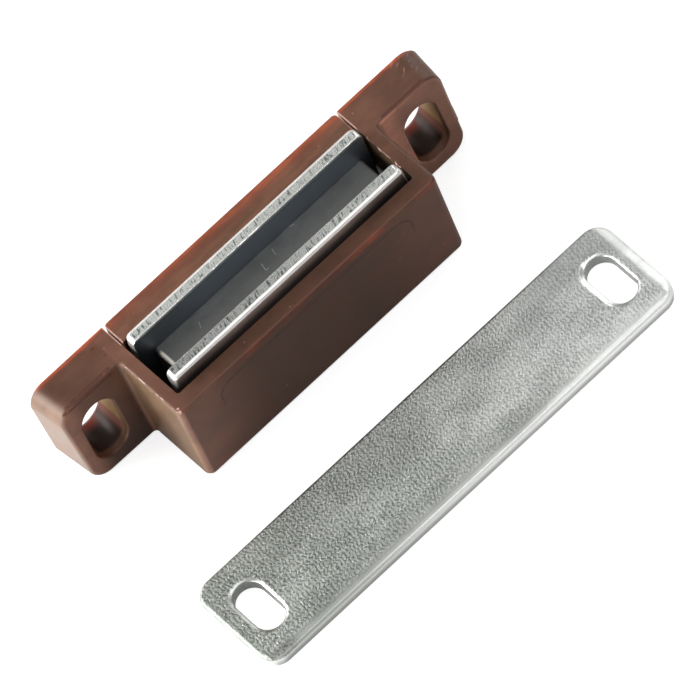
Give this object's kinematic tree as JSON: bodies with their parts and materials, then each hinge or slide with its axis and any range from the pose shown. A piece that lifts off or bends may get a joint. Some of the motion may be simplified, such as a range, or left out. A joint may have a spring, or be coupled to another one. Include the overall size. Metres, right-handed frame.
{
  "type": "magnetic catch",
  "caption": "Moulded cabinet catch with slotted ears, a magnet held between steel pole plates, and a flat slotted strike plate.",
  "frame": {"origin": "middle of the housing's rear face, on which the catch stands", "axes": "+X along the catch, +Y towards the cabinet side that the ears are screwed to, +Z out of the pole face"},
  "size_m": [0.0586, 0.0369, 0.0154],
  "materials": {
    "brown_plastic": "moulded, semi-gloss",
    "pole_steel": "sheared edges, bright plated faces",
    "ferrite": "ground, dull dark grey",
    "zinc_plated_steel": "fine pebbled zinc plate"
  },
  "bodies": {
    "housing": {"housing": "brown_plastic", "back_cover": "brown_plastic", "strike_plate": "zinc_plated_steel"},
    "magnet_pack": {"front_pole_plate": "pole_steel", "rear_pole_plate": "pole_steel", "magnet": "ferrite"}
  },
  "joints": [
    {"name": "magnet_float", "type": "slide", "parent": "housing", "child": "magnet_pack", "axis": [0, 0, 1], "range_m": [0, 0.0005]}
  ]
}
